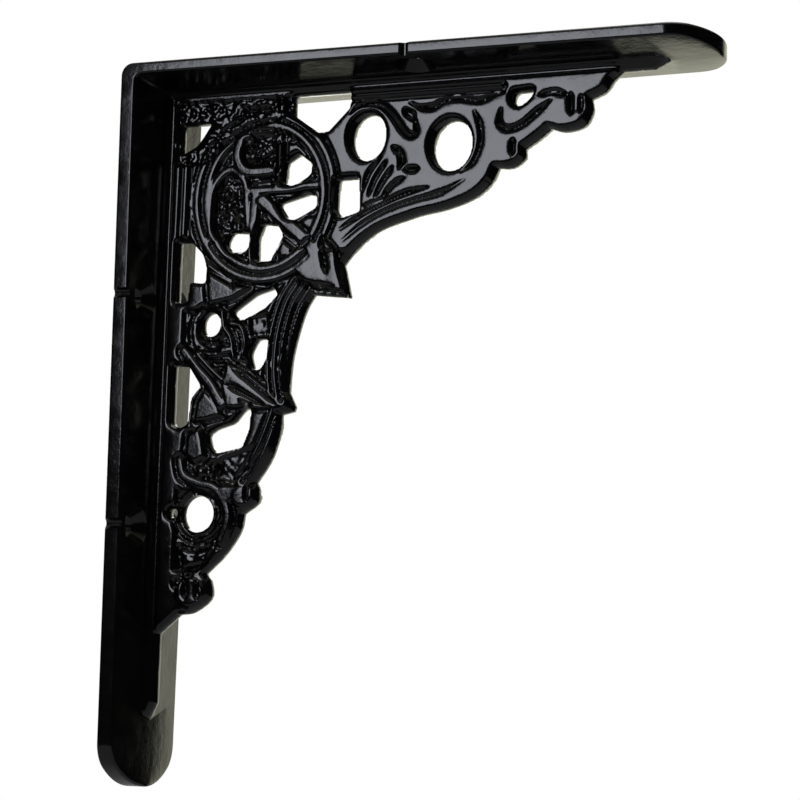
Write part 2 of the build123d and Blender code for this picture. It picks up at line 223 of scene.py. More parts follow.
# Openings: corners of each, rounded off
OPENINGS = [
    [(33.6, SPINE_DROP), (33.6, 9.8), (39.6, 14.0), (42.2, 14.0), (47.0, 9.2), (47.0, SPINE_DROP)],
    [(7.5, 10.3), (14.6, 10.3), (12.8, 13.1), (11.2, 15.2), (7.5, 17.0)],
    [(44.2, 24.4), (49.4, 24.4), (49.8, 31.6), (45.6, 32.8), (44.0, 31.0)],
    [(35.2, 18.2), (38.4, 20.6), (38.2, 23.0), (34.2, 25.2), (31.8, 24.6), (32.2, 20.0)],
    [(30.8, 28.8), (37.5, 27.0), (39.6, 27.6), (39.6, 30.2), (34.6, 32.6), (33.0, 32.2)],
    [(27.2, 33.0), (31.0, 33.6), (32.2, 35.8), (29.5, 41.2), (26.2, 41.2), (26.0, 36.0)],
    [(20.0, 34.5), (24.6, 35.0), (24.5, 37.0), (23.5, 39.0), (20.4, 39.0), (18.8, 37.0)],
    [(7.6, 36.0), (10.8, 36.2), (13.6, 39.0), (14.6, 42.0), (14.4, 45.4), (10.8, 45.0), (10.4, 49.4),
     (7.6, 49.4)],
    [(20.8, 51.8), (26.0, 48.2), (30.5, 46.9), (31.4, 48.6), (29.0, 51.0), (25.0, 53.0), (22.8, 53.8)],
    [(26.8, 57.8), (29.5, 57.8), (29.2, 62.0), (28.0, 64.4), (26.2, 64.4), (25.2, 61.0)],
    [(7.6, 62.8), (11.3, 63.2), (14.3, 67.6), (12.2, 70.0), (11.6, 75.6), (9.6, 76.6), (7.6, 75.5)],
    [(16.2, 78.0), (18.0, 76.8), (22.0, 75.6), (24.5, 72.6), (26.3, 72.8), (26.0, 77.0), (24.5, 80.8),
     (18.5, 82.0), (16.8, 80.5)],
    [(83.2, 8.4), (87.8, 8.2), (86.8, 10.2), (84.6, 11.6), (83.0, 10.6)],
]
OPENING_CORNER = 0.8
# Oval openings: centre, half width, half height
OVAL_OPENINGS = [
    ((51.2, 15.8), 4.0, 5.0),
    ((69.9, 18.7), 4.5, 5.4),
    ((16.2, 54.4), 2.2, 2.6),
    ((14.7, 94.8), 3.7, 3.9),
    ((8.9, 94.6), 1.1, 1.1),
]

# Sunk ground: ring of corners, and how strongly it is stippled
SUNK = [
    ([(6.4, 5.2), (34.0, 5.2), (34.0, 9.8), (22.4, 13.8), (17.9, 16.8), (14.4, 19.6), (6.4, 19.6)], 1),
    ([(16.9, 24.2), (19.9, 22.1), (22.9, 24.2), (24.0, 34.2), (20.4, 34.9), (17.4, 36.6),
      (16.0, 34.2), (16.0, 27.2)], 1),
    ([(23.0, 14.4), (30.4, 13.8), (30.4, 20.6), (24.4, 20.6), (22.6, 18.8)], 1),
    ([(9.8, 50.9), (18.4, 50.9), (19.2, 60.9), (12.4, 60.2), (9.8, 58.6)], 0.3),
    ([(25.4, 53.0), (30.0, 52.5), (30.2, 57.6), (25.8, 57.9)], 0.3),
    ([(19.8, 83.0), (27.4, 80.5), (26.8, 85.7), (23.8, 88.5), (18.0, 87.8)], 0.25),
    ([(9.6, 88.8), (14.0, 89.7), (20.2, 91.8), (21.0, 96.7), (19.0, 100.8), (16.0, 107.2),
      (9.6, 107.2)], 0.35),
    ([(59.4, 10.1), (62.2, 11.2), (62.0, 13.7), (59.3, 11.8)], 0.3),
]
# Raised bands: points along the middle, half width, height above the ground, number of strands
BANDS = [
    ([(31.0, 6.2), (31.0, 12.2), (31.2, 18.2), (30.9, 24.4)], 1.35, 0.5, 2),
    ([(33.9, 10.7), (34.1, 15.4)], 0.5, 0.4, 1),
    ([(23.0, 8.4), (29.6, 8.2)], 0.45, 0.4, 1),
    ([(22.8, 10.2), (29.6, 9.9)], 0.45, 0.4, 1),
    ([(23.4, 11.8), (29.6, 11.7)], 0.45, 0.4, 1),
    ([(24.2, 13.4), (29.6, 13.2)], 0.45, 0.4, 1),
    ([(24.0, 14.7), (22.2, 15.4), (21.4, 17.9), (22.2, 20.4), (24.4, 21.9), (29.2, 21.9)], 1.3, 0.6, 1),
    ([(31.4, 14.8), (27.2, 18.4)], 0.95, 0.5, 1),
    ([(25.0, 24.1), (30.0, 23.9)], 0.4, 0.4, 1),
    ([(25.0, 26.1), (32.4, 26.1), (40.6, 25.6)], 1.1, 0.5, 1),
    ([(26.0, 26.8), (25.8, 34.2), (26.0, 42.2)], 1.3, 0.5, 1),
    ([(15.8, 36.2), (15.6, 30.2), (15.8, 25.9), (17.6, 22.4), (20.0, 21.2), (22.6, 22.9), (23.8, 26.2),
      (24.0, 35.2)], 1.1, 0.5, 1),
    ([(27.8, 28.4), (32.8, 32.9), (37.4, 36.9), (40.8, 41.0)], 1.6, 0.6, 1),
    ([(9.3, 19.9), (9.2, 34.9)], 0.9, 0.3, 1),
    ([(36.6, 46.6), (34.3, 50.2), (32.7, 55.2), (31.9, 60.5), (31.9, 66.2), (32.9, 71.5)], 2.3, 0.5, 3),
    ([(32.8, 72.7), (31.4, 76.8), (29.6, 81.2), (27.4, 85.2), (25.4, 88.2)], 1.8, 0.5, 2),
    ([(18.0, 50.9), (14.2, 51.9), (12.6, 55.2), (13.4, 58.6), (16.4, 60.5), (20.8, 60.2)], 1.1, 0.6, 1),
    ([(19.3, 51.9), (19.6, 54.9), (21.4, 57.6), (22.3, 61.9)], 0.75, 0.5, 1),
    ([(21.2, 54.5), (23.6, 55.2), (24.8, 58.5), (24.5, 61.6)], 0.75, 0.5, 1),
    ([(16.4, 62.4), (20.8, 62.5)], 0.4, 0.4, 1),
    ([(17.0, 64.2), (20.8, 64.0)], 0.45, 0.4, 1),
    ([(10.6, 60.2), (13.6, 63.9), (16.8, 67.2), (19.8, 71.7)], 1.3, 0.6, 1),
    ([(13.6, 60.6), (17.0, 64.0), (21.0, 67.5), (25.0, 70.8)], 0.8, 0.6, 1),
    ([(10.6, 83.7), (11.6, 86.8), (15.0, 88.5), (18.8, 89.5), (21.4, 92.5), (22.2, 96.2),
      (20.8, 100.8)], 1.2, 0.6, 1),
    ([(21.0, 90.7), (27.0, 91.0)], 1.9, 0.6, 1),
    ([(47.2, 7.3), (60.4, 7.3), (81.0, 7.3)], 0.6, 0.3, 1),
]
# Oval bands: centre, half width and half height of the middle line, half width of the band, height, strands
OVAL_BANDS = [
    ((28.1, 27.5), 14.75, 16.7, 2.35, 0.55, 2),
    ((17.0, 54.9), 3.0, 3.5, 0.5, 0.4, 1),
    ((15.1, 95.1), 5.1, 5.3, 0.6, 0.4, 1),
]
# Leaves: corners, height above the ground, width of the sloped edge
LEAVES = [
    ([(41.0, 35.2), (45.2, 40.0), (46.0, 44.2), (47.8, 49.0), (40.0, 48.0), (34.8, 43.5), (38.4, 41.2)],
     0.6, 0.6),
    ([(20.6, 62.4), (26.0, 65.2), (31.0, 69.0), (35.6, 73.0), (28.0, 73.2), (20.6, 72.8), (19.4, 68.0)],
     0.6, 0.7),
    ([(15.2, 42.6), (20.4, 45.6), (26.2, 46.9), (21.4, 49.6), (15.6, 50.6), (15.0, 46.8)], 0.5, 0.9),
    ([(35.6, 33.5), (38.0, 31.9), (40.6, 32.0), (40.6, 35.2), (38.8, 36.2)], 0.4, 1.0),
    ([(31.0, 39.0), (32.6, 36.5), (35.6, 38.9), (34.8, 40.9), (32.0, 41.5)], 0.4, 1.0),
    ([(13.6, 71.0), (15.8, 67.8), (19.4, 71.7), (20.6, 74.5), (16.2, 75.5), (13.0, 75.8)], 0.5, 1.0),
    ([(11.6, 77.7), (15.2, 76.0), (16.4, 78.8), (17.0, 83.2), (13.8, 84.8), (11.2, 82.7)], 0.5, 1.2),
    ([(10.6, 101.5), (14.6, 102.5), (19.4, 101.5), (16.8, 105.8), (11.2, 107.2)], 0.4, 1.2),
]
# Lobes and beads: centre, radius, height above the ground
LOBES = [
    ((15.6, 86.0), 1.5, 0.5), ((18.6, 85.2), 1.1, 0.4), ((24.4, 16.6), 0.8, 0.4),
    ((25.3, 19.1), 0.8, 0.4), ((19.0, 26.4), 1.0, 0.5), ((21.2, 29.9), 0.9, 0.4),
    ((18.2, 31.4), 0.9, 0.4), ((11.2, 109.5), 1.0, 0.5), ((13.0, 107.7), 1.0, 0.5),
]
# Knobs at the lower scroll ends: centre, radius, height from the middle plane
KNOBS = [
    ((25.3, 91.4), 3.0, 3.0),
    ((14.2, 111.5), 3.9, 3.0),
]
# Grooves cut into what is raised: points, half width, depth
GROOVES = [
    ([(41.6, 36.5), (42.0, 40.2), (43.0, 44.9)], 0.6, 0.9),
    ([(35.6, 44.9), (38.2, 46.6), (45.0, 47.6)], 0.5, 0.6),
    ([(21.8, 63.9), (26.4, 67.2), (32.6, 72.2)], 0.5, 0.8),
    ([(21.0, 67.8), (25.4, 70.0), (30.0, 72.4)], 0.5, 0.7),
    ([(23.8, 70.9), (27.0, 72.2)], 0.5, 0.5),
    ([(36.6, 39.2), (39.2, 36.6)], 0.54, 0.6),
    ([(47.4, 10.8), (49.4, 9.2), (52.4, 8.9), (55.0, 9.8), (57.4, 12.2), (59.4, 15.1), (61.2, 16.4),
      (62.4, 15.7), (62.2, 13.1)], 0.78, 1.2),
    ([(60.8, 9.2), (62.8, 10.4), (66.0, 10.6), (68.4, 9.4), (72.0, 9.1), (76.2, 9.9), (79.4, 8.9),
      (81.8, 8.6)], 0.65, 1.1),
    ([(50.6, 27.8), (51.9, 23.9), (54.6, 20.4)], 0.5, 0.8),
    ([(51.9, 29.0), (53.4, 25.2), (56.0, 21.2)], 0.5, 0.7),
    ([(53.4, 29.2), (55.0, 26.0), (57.4, 22.6)], 0.5, 0.7),
    ([(55.2, 29.0), (57.4, 26.6), (60.0, 25.2)], 0.5, 0.8),
    ([(57.0, 18.4), (58.8, 19.9), (59.3, 21.9), (58.6, 23.4)], 0.65, 0.9),
    ([(59.8, 23.6), (63.2, 23.6)], 0.7, 0.9),
    ([(45.8, 35.6), (50.4, 32.6), (55.4, 30.4), (60.4, 28.6), (65.6, 27.6)], 0.59, 0.9),
    ([(46.2, 38.2), (51.0, 34.5), (56.4, 31.8), (62.4, 30.1), (68.4, 28.8), (73.4, 26.4)], 0.5, 0.6),
    ([(50.4, 31.2), (56.4, 29.1)], 0.5, 0.5),
    ([(75.0, 11.8), (76.4, 15.2), (76.5, 19.2), (75.0, 22.9), (72.4, 24.9)], 0.5, 0.7),
    ([(81.0, 11.8), (80.7, 15.1), (82.8, 16.4), (85.8, 15.4), (88.8, 13.1), (91.8, 10.8)], 0.65, 1.0),
    ([(88.8, 9.7), (92.4, 9.2), (95.2, 10.1)], 0.54, 0.7),
    ([(95.9, 9.7), (96.0, 14.4)], 0.62, 0.9),
    ([(98.1, 10.2), (98.0, 14.1)], 0.5, 0.7),
    ([(83.6, 18.4), (83.6, 22.1)], 0.59, 0.8),
    ([(26.4, 89.0), (26.5, 92.7)], 0.54, 0.7),
    ([(13.0, 108.7), (13.2, 112.8)], 0.62, 0.8),
    ([(15.8, 108.7), (16.0, 113.2)], 0.62, 0.8),
    ([(21.3, 45.5), (21.5, 47.0)], 0.5, 0.5),
]


def smooth_line(corners, samples=8):
    """Catmull-Rom curve through the corners, as an array of points."""
    points = np.array(corners, dtype=float)
    if len(points) < 3:
        return points
    padded = np.vstack([2 * points[0] - points[1], points, 2 * points[-1] - points[-2]])
    steps = np.linspace(0, 1, samples, endpoint=False)[:, None]
    run = []
    for a, b, c, d in zip(padded, padded[1:], padded[2:], padded[3:]):
        run.append(0.5 * (2 * b + (c - a) * steps + (2 * a - 5 * b + 4 * c - d) * steps**2
                          + (3 * b - a - 3 * c + d) * steps**3))
    return np.vstack(run + [points[-1:]])


def rounded_ring(corners, radius, samples=5):
    """Closed outline through the corners, each one rounded off."""
    points = np.array(corners, dtype=float)
    ring = []
    for before, corner, after in zip(np.roll(points, 1, 0), points, np.roll(points, -1, 0)):
        start = before - corner
        end = after - corner
        reach = min(radius, 0.45 * np.linalg.norm(start), 0.45 * np.linalg.norm(end))
        start = corner + start / np.linalg.norm(start) * reach
        end = corner + end / np.linalg.norm(end) * reach
        t = np.linspace(0, 1, samples)[:, None]
        ring.append((1 - t) ** 2 * start + 2 * t * (1 - t) * corner + t**2 * end)
    return np.vstack(ring)


def distance_to_line(out, drop, line):
    """Distance from each grid point to a line of straight pieces."""
    nearest = np.full(out.shape, np.inf)
    for (ax, ay), (bx, by) in zip(line[:-1], line[1:]):
        dx, dy = bx - ax, by - ay
        length = dx * dx + dy * dy
        if length < 1e-12:
            continue
        t = np.clip(((out - ax) * dx + (drop - ay) * dy) / length, 0, 1)
        nearest = np.minimum(nearest, np.hypot(out - ax - t * dx, drop - ay - t * dy))
    return nearest


def inside_ring(out, drop, ring):
    """True where a grid point lies inside the closed ring."""
    inside = np.zeros(out.shape, dtype=bool)
    for (ax, ay), (bx, by) in zip(ring, np.roll(ring, -1, 0)):
        if ay == by:
            continue
        crosses = (ay > drop) != (by > drop)
        inside ^= crosses & (out < (bx - ax) * (drop - ay) / (by - ay) + ax)
    return inside


def signed_distance(out, drop, ring):
    """Distance to the ring, above zero inside it."""
    distance = distance_to_line(out, drop, np.vstack([ring, ring[:1]]))
    return np.where(inside_ring(out, drop, ring), distance, -distance)


def window(out, drop, points, margin):
    """Slices of the grid that hold the points, with a margin."""
    points = np.asarray(points)
    (left, top), (right, bottom) = points.min(0) - margin, points.max(0) + margin
    columns = np.flatnonzero((out[0] > left) & (out[0] < right))
    rows = np.flatnonzero((drop[:, 0] > top) & (drop[:, 0] < bottom))
    return slice(rows[0], rows[-1] + 1), slice(columns[0], columns[-1] + 1)


def web_outline():
    """Closed outline of web and spine together, sunk into both flanges."""
    sunk_out, sunk_drop = WALL_EDGE - WEB_OVERLAP, SHELF_EDGE - WEB_OVERLAP
    ring = [
        np.array([
            (SHELF_SPINE_END - SPINE_SLOPE, SPINE_DROP),
            (SHELF_SPINE_END, SHELF_EDGE + DRAFT_RISE),
            (SHELF_SPINE_END, sunk_drop),
            (sunk_out, sunk_drop),
            (sunk_out, WALL_SPINE_END),
            (WALL_EDGE + DRAFT_RISE, WALL_SPINE_END),
            (SPINE_OUT, WALL_SPINE_END - SPINE_SLOPE),
        ])
    ]
    for kind, corners in OUTLINE:
        ring.append(smooth_line(corners) if kind == "round" else np.array(corners))
    return np.vstack(ring)


def dome(q, fullness=3.2):
    """Rounded section: 1 in the middle, 0 at q = 1 and beyond. A fuller one is flatter on top."""
    return np.sqrt(np.clip(1 - np.clip(q, 0, 1) ** fullness, 0, 1))


def flat_top(depth, shoulder=SHOULDER):
    """Section that is flat on top and falls off at its edge; depth is the distance inside the edge."""
    share = np.clip(depth / shoulder, 0, 1)
    return share * (2 - share)


def furrow(q):
    """Section of a groove with soft edges: 1 in the middle, 0 at q = 1 and beyond."""
    return (1 - np.clip(q, 0, 1) ** 2) ** 2


def strands(across, half_width, count):
    """Section of strands side by side, across being the signed distance from their middle line."""
    width = 2 * half_width / count
    place = np.mod(np.clip(across, -half_width, half_width) + half_width, width)
    notch = STRAND_NOTCH * furrow(np.minimum(place, width - place) / STRAND_NOTCH_HALF) * (count > 1)
    return flat_top(half_width - np.abs(across)) * (1 - notch)


def top_of(section, rise, ground):
    """Height of a raised feature from its section: its top is above the ground, its edge below it."""
    return np.where(section > 0, ground + rise - (rise + MOAT_DEPTH) * (1 - section), 0)


def speckle(out, drop, pitch, seed):
    """Smooth random field between -1 and 1, with about one lump in each pitch."""
    dice = np.random.default_rng(seed)
    lattice = dice.uniform(-1, 1, (int(FIELD_DROP / pitch) + 3, int(FIELD_OUT / pitch) + 3))
    u, v = out / pitch + 0.5, drop / pitch + 0.5
    i, j = np.floor(v).astype(int), np.floor(u).astype(int)
    fu, fv = u - j, v - i
    fu, fv = fu * fu * (3 - 2 * fu), fv * fv * (3 - 2 * fv)
    top = lattice[i, j] * (1 - fu) + lattice[i, j + 1] * fu
    bottom = lattice[i + 1, j] * (1 - fu) + lattice[i + 1, j + 1] * fu
    return top * (1 - fv) + bottom * fv


def soften(field, passes):
    """Small blur, as paint and sand soften a casting."""
    for _ in range(passes):
        padded = np.pad(field, 1, mode="edge")
        field = (4 * field + padded[:-2, 1:-1] + padded[2:, 1:-1] + padded[1:-1, :-2] + padded[1:-1, 2:]) / 8
    return field


def carve(out, drop):
    """(height from the middle plane, distance inside the outline) for every grid point."""
    inside = signed_distance(out, drop, web_outline())
    for corners in OPENINGS:
        ring = rounded_ring(corners, OPENING_CORNER)
        part = window(out, drop, ring, 4)
        inside[part] = np.minimum(inside[part], -signed_distance(out[part], drop[part], ring))
    for (cx, cy), rx, ry in OVAL_OPENINGS:
        reach = np.hypot((out - cx) / rx, (drop - cy) / ry)
        inside = np.minimum(inside, (reach - 1) * min(rx, ry))

    # The shelf arm is one high flat face with lines cut in it, the rest is lower with raised work
    centre_out, centre_drop = RING_CENTRE
    ring_reach = np.hypot((out - centre_out) / RING_HALF_WIDTH, (drop - centre_drop) / RING_HALF_HEIGHT)
    shelf_side = (ring_reach > 1) & (out > SHELF_GROUND_OUT) & (drop < SHELF_GROUND_DROP)
    ground = np.where(shelf_side, SHELF_GROUND, GROUND)
    rough = sum(rise * speckle(out, drop, pitch, seed + 1) for seed, (rise, pitch) in enumerate(STIPPLE))
    for corners, stipple in SUNK:
        ring = rounded_ring(corners, SUNK_CORNER)
        part = window(out, drop, ring, 1)
        depth = np.clip(signed_distance(out[part], drop[part], ring) / SUNK_SLOPE, 0, 1)
        ground[part] += depth * (SUNK_GROUND + stipple * rough[part] - ground[part])
    moat = np.zeros_like(ground)
    raised = np.zeros_like(ground)

    def lift(part, beyond, top):
        """Raises a feature, with a fine moat round it; beyond is the distance outside its edge."""
        raised[part] = np.maximum(raised[part], top)
        moat[part] = np.maximum(moat[part], MOAT_DEPTH * furrow(np.maximum(beyond, 0) / MOAT_WIDTH))

    for corners, half_width, rise, count in BANDS:
        line = smooth_line(corners)
        part = window(out, drop, line, half_width + 1)
        distance, side, _ = measure_line(out[part], drop[part], line)
        across = distance * side
        section = strands(across, half_width, count)
        lift(part, distance - half_width, top_of(section, rise, ground[part]))
    for (cx, cy), rx, ry, half_width, rise, count in OVAL_BANDS:
        reach = np.hypot((out - cx) / rx, (drop - cy) / ry)
        angle = np.arctan2((drop - cy) / ry, (out - cx) / rx)
        across = (reach - 1) * np.hypot(rx * np.cos(angle), ry * np.sin(angle))
        section = strands(across, half_width, count)
        everywhere = (slice(None), slice(None))
        lift(everywhere, np.abs(across) - half_width, top_of(section, rise, ground))
    for corners, rise, slope in LEAVES:
        ring = rounded_ring(corners, LEAF_CORNER)
        part = window(out, drop, ring, 1)
        depth = signed_distance(out[part], drop[part], ring)
        section = flat_top(depth, slope)
        lift(part, -depth, top_of(section, rise, ground[part]))
    for (cx, cy), radius, rise in LOBES:
        part = window(out, drop, [(cx, cy)], radius + 1)
        distance = np.hypot(out[part] - cx, drop[part] - cy)
        section = dome(distance / radius, LOBE_FULLNESS)
        lift(part, distance - radius, top_of(section, rise, ground[part]))
    for (cx, cy), radius, top in KNOBS:
        part = window(out, drop, [(cx, cy)], radius + 1)
        distance = np.hypot(out[part] - cx, drop[part] - cy)
        raised[part] = np.maximum(raised[part], top * flat_top(radius - distance, KNOB_SHOULDER))
    height = np.maximum(ground - moat, raised)
    for corners, half_width, depth in GROOVES:
        line = smooth_line(corners)
        part = window(out, drop, line, ROLL_WIDTH)
        distance, _, share = measure_line(out[part], drop[part], line)
        fade = GROOVE_END + (1 - GROOVE_END) * np.clip(GROOVE_TAPER * np.minimum(share, 1 - share), 0, 1)
        height[part] -= fade * depth * furrow(distance / (half_width * fade))
        height[part] -= fade * ROLL_DEPTH * furrow(distance / ROLL_WIDTH)

    spine = (out < SPINE_OUT) | (drop < SPINE_DROP)
    height = np.where(spine, SPINE_HALF, height)
    height = soften(height - ROLL_DEPTH * furrow(inside / ROLL_WIDTH), SOFTEN_PASSES)

    over_wall = np.clip(1 - (out - WALL_EDGE - DRAFT_RISE) / FILLET, 0, 1)
    over_shelf = np.clip(1 - (drop - SHELF_EDGE - DRAFT_RISE) / FILLET, 0, 1)
    height = height + FILLET * (1 - np.sqrt(1 - np.maximum(over_wall, over_shelf) ** 2))

    rounded = EDGE_HALF + (height - EDGE_HALF) * dome(1 - np.clip(inside / EDGE_ROUND, 0, 1))
    return rounded, inside


def measure_line(out, drop, line):
    """Distance from a line, which side of it (1 or -1), and the share of the way along it."""
    nearest = np.full(out.shape, np.inf)
    side, share = np.ones(out.shape), np.zeros(out.shape)
    lengths = [max(math.dist(first, second), 1e-6) for first, second in zip(line[:-1], line[1:])]
    passed = 0
    for (ax, ay), (bx, by), length in zip(line[:-1], line[1:], lengths):
        dx, dy = bx - ax, by - ay
        t = np.clip(((out - ax) * dx + (drop - ay) * dy) / length ** 2, 0, 1)
        distance = np.hypot(out - ax - t * dx, drop - ay - t * dy)
        closer = distance < nearest
        nearest = np.where(closer, distance, nearest)
        side = np.where(closer, np.sign(dx * (drop - ay) - dy * (out - ax)), side)
        share = np.where(closer, (passed + t * length) / sum(lengths), share)
        passed += length
    return nearest, side, share


def web_mesh():
    """Closed mesh of web and spine: both carved faces and the wall round every edge."""
    out, drop = np.meshgrid(np.arange(*GRID_OUT, GRID), np.arange(*GRID_DROP, GRID))
    height, inside = carve(out, drop)

    keep = (inside[:-1, :-1] > 0) & (inside[1:, :-1] > 0) & (inside[:-1, 1:] > 0) & (inside[1:, 1:] > 0)
    number = np.arange(out.size).reshape(out.shape)
    cells = np.stack(
        [number[:-1, :-1][keep], number[:-1, 1:][keep], number[1:, 1:][keep], number[1:, :-1][keep]], axis=1
    )
    # Directed edges that only one cell has are the rim
    edges = np.concatenate([cells[:, [i, (i + 1) % 4]] for i in range(4)])
    forward = edges[:, 0] * out.size + edges[:, 1]
    backward = edges[:, 1] * out.size + edges[:, 0]
    rim = edges[~np.isin(forward, backward)]
    rim_points = np.unique(rim)

    # Rim points slide out onto the true outline
    slope_drop, slope_out = np.gradient(inside, GRID)
    flat_out, flat_drop = out.ravel().copy(), drop.ravel().copy()
    steep = np.maximum(np.hypot(slope_out, slope_drop), LEAST_STEEPNESS).ravel()[rim_points]
    push = np.clip(inside.ravel()[rim_points] / steep, 0, RIM_REACH * GRID) / steep
    flat_out[rim_points] -= slope_out.ravel()[rim_points] * push
    flat_drop[rim_points] -= slope_drop.ravel()[rim_points] * push
    half = height.ravel().copy()
    half[rim_points] = EDGE_HALF

    used = np.unique(cells)
    place = np.zeros(out.size, dtype=int)
    place[used] = np.arange(len(used))
    near = np.stack([flat_out[used], -half[used], CORNER_UP - flat_drop[used]], axis=1)
    far = near * [1, -1, 1]
    ridge_place = np.zeros(out.size, dtype=int)
    ridge_place[rim_points] = 2 * len(used) + np.arange(len(rim_points))
    unit = np.stack([slope_out.ravel()[rim_points], slope_drop.ravel()[rim_points]], axis=1) / steep[:, None]
    ridge = np.stack([
        flat_out[rim_points] - PARTING_RIDGE * unit[:, 0],
        np.zeros(len(rim_points)),
        CORNER_UP - (flat_drop[rim_points] - PARTING_RIDGE * unit[:, 1]),
    ], axis=1)
    near_faces = place[cells][:, ::-1]
    far_faces = place[cells] + len(used)
    a, b = rim[:, 0], rim[:, 1]
    near_wall = np.stack([place[a], place[b], ridge_place[b], ridge_place[a]], axis=1)
    far_wall = np.stack([ridge_place[a], ridge_place[b], place[b] + len(used), place[a] + len(used)], axis=1)
    vertices = np.vstack([near, far, ridge])
    return vertices, np.vstack([near_faces, far_faces, near_wall, far_wall])


def new_mesh(name, vertices, faces):
    """Blender object from vertices in millimetres."""
    mesh = bpy.data.meshes.new(name)
    mesh.from_pydata([tuple(v) for v in np.asarray(vertices) * MM], [], [tuple(map(int, f)) for f in faces])
    mesh.validate()
    mesh.update()
    piece = bpy.data.objects.new(name, mesh)
    bpy.context.scene.collection.objects.link(piece)
    return piece


class Station:
    """A place along the plate unfolded flat: half its width there, and the way out of its outline."""

    def __init__(self, arm, along, half, out_along, out_side, share=0.0):
        self.arm, self.along, self.half = arm, along, half
        self.out_along, self.out_side, self.share = out_along, out_side, share

    def point(self, side, depth, inset):
        """Point of the plate: side is across it, depth is 0 on the outer face and 1 on the inner."""
        along = self.along - self.out_along * inset
        wall, shelf = (edge + DRAFT_RISE * (1 - abs(side) / (FLANGE_WIDTH_CORNER / 2))
                       for edge in (WALL_EDGE, SHELF_EDGE))
        if self.arm == "wall":
            return (wall * depth, side, CORNER_UP - along)
        if self.arm == "shelf":
            return (along, side, CORNER_UP - shelf * depth)
        turn = np.array([1 - math.cos(self.share * math.pi / 2), 1 - math.sin(self.share * math.pi / 2)])
        outer = OUTER_CORNER_RADIUS * turn
        inner = np.array([wall, shelf]) + INNER_CORNER_RADIUS * turn
        out, drop = outer + (inner - outer) * depth
        return (out, side, CORNER_UP - drop)


def arm_stations(arm, length):
    """Stations of one arm, from its bowed tip with rounded corners to the corner block."""
    end = FLANGE_WIDTH_END / 2
    straight = length - ARM_END_BOW
    edge_turn = math.atan((FLANGE_WIDTH_CORNER / 2 - end) / (straight - TAPER_START))
    edge_normal = np.array([math.sin(edge_turn), math.cos(edge_turn)])
    edge_line = np.array([math.cos(edge_turn), -math.sin(edge_turn)])
    bow_radius = (end ** 2 + ARM_END_BOW ** 2) / (2 * ARM_END_BOW)
    bow_centre = np.array([length - bow_radius, 0])
    # The rounded corner touches the edge and the bow: its centre is found along a line beside the edge
    start = np.array([straight, end]) - ARM_END_CORNER * edge_normal - bow_centre
    ahead = start @ edge_line
    reach = math.sqrt(ahead ** 2 - start @ start + (bow_radius - ARM_END_CORNER) ** 2) - ahead
    corner_offset = start + reach * edge_line
    bow_turn = math.atan2(corner_offset[1], corner_offset[0])
    run = []
    for turn in np.linspace(0, bow_turn, BOW_STEPS):
        normal = np.array([math.cos(turn), math.sin(turn)])
        run.append(Station(arm, *(bow_centre + bow_radius * normal), *normal))
    for turn in np.linspace(bow_turn, math.pi / 2 - edge_turn, ARM_CORNER_STEPS)[1:]:
        normal = np.array([math.cos(turn), math.sin(turn)])
        run.append(Station(arm, *(bow_centre + corner_offset + ARM_END_CORNER * normal), *normal))
    for along in np.linspace(run[-1].along, TAPER_START + 1, ARM_STEPS)[1:]:
        run.append(Station(arm, along, arm_half(along, length), *edge_normal))
    return run


def plate_mesh():
    """Closed mesh of both flanges as one bent plate, with rounded rims and drafted inner faces."""
    corner = [Station("corner", 0.0, FLANGE_WIDTH_CORNER / 2, 0.0, 1.0, share)
              for share in np.linspace(0, 1, CORNER_STEPS)]
    run = arm_stations("wall", WALL_ARM) + corner + arm_stations("shelf", SHELF_ARM)[::-1]
    last = len(run) - 1
    turns = np.linspace(0, math.pi / 2, RIM_STEPS + 1)
    outer_rim = [(RIM_RADIUS * (1 - math.sin(t)), RIM_RADIUS * (1 - math.cos(t)), False) for t in turns]
    inner_rim = [(INNER_RIM_RADIUS * (1 - math.cos(t)), INNER_RIM_RADIUS * (1 - math.sin(t)), True)
                 for t in turns]
    vertices, faces = [], []

    def ring(inset, deep, from_inner):
        """Adds one loop round the outline and returns its vertex numbers, near side then far side."""
        loop = [[], []]
        for place, station in enumerate(run):
            for number, sign in enumerate((-1, 1)):
                if number and place in (0, last):
                    loop[1].append(loop[0][-1])
                    continue
                side = sign * max(station.half - station.out_side * inset, 0)
                edge = np.linalg.norm(np.subtract(station.point(side, 1, 0), station.point(side, 0, 0)))
                depth = 1 - deep / edge if from_inner else deep / edge
                vertices.append(station.point(side, depth, inset))
                loop[number].append(len(vertices) - 1)
        return loop

    rings = [ring(*step) for step in outer_rim + inner_rim]
    for first, second in zip(rings, rings[1:]):
        for k in range(last):
            faces.append((first[0][k], first[0][k + 1], second[0][k + 1], second[0][k]))
            faces.append((first[1][k + 1], first[1][k], second[1][k], second[1][k + 1]))
    outer, inner = rings[0], rings[-1]
    middle = []
    for place, station in enumerate(run):
        if place in (0, last):
            middle.append(inner[0][place])
        else:
            vertices.append(station.point(0, 1, 0))
            middle.append(len(vertices) - 1)
    for k in range(last):
        faces.append((outer[0][k + 1], outer[0][k], outer[1][k], outer[1][k + 1]))
        faces.append((inner[0][k], inner[0][k + 1], middle[k + 1], middle[k]))
        faces.append((middle[k], middle[k + 1], inner[1][k + 1], inner[1][k]))
    # The faces above run clockwise seen from outside, so each is turned round its first corner
    rounds = [tuple(dict.fromkeys(face)) for face in faces]
    return np.array(vertices), [face[:1] + face[:0:-1] for face in rounds]


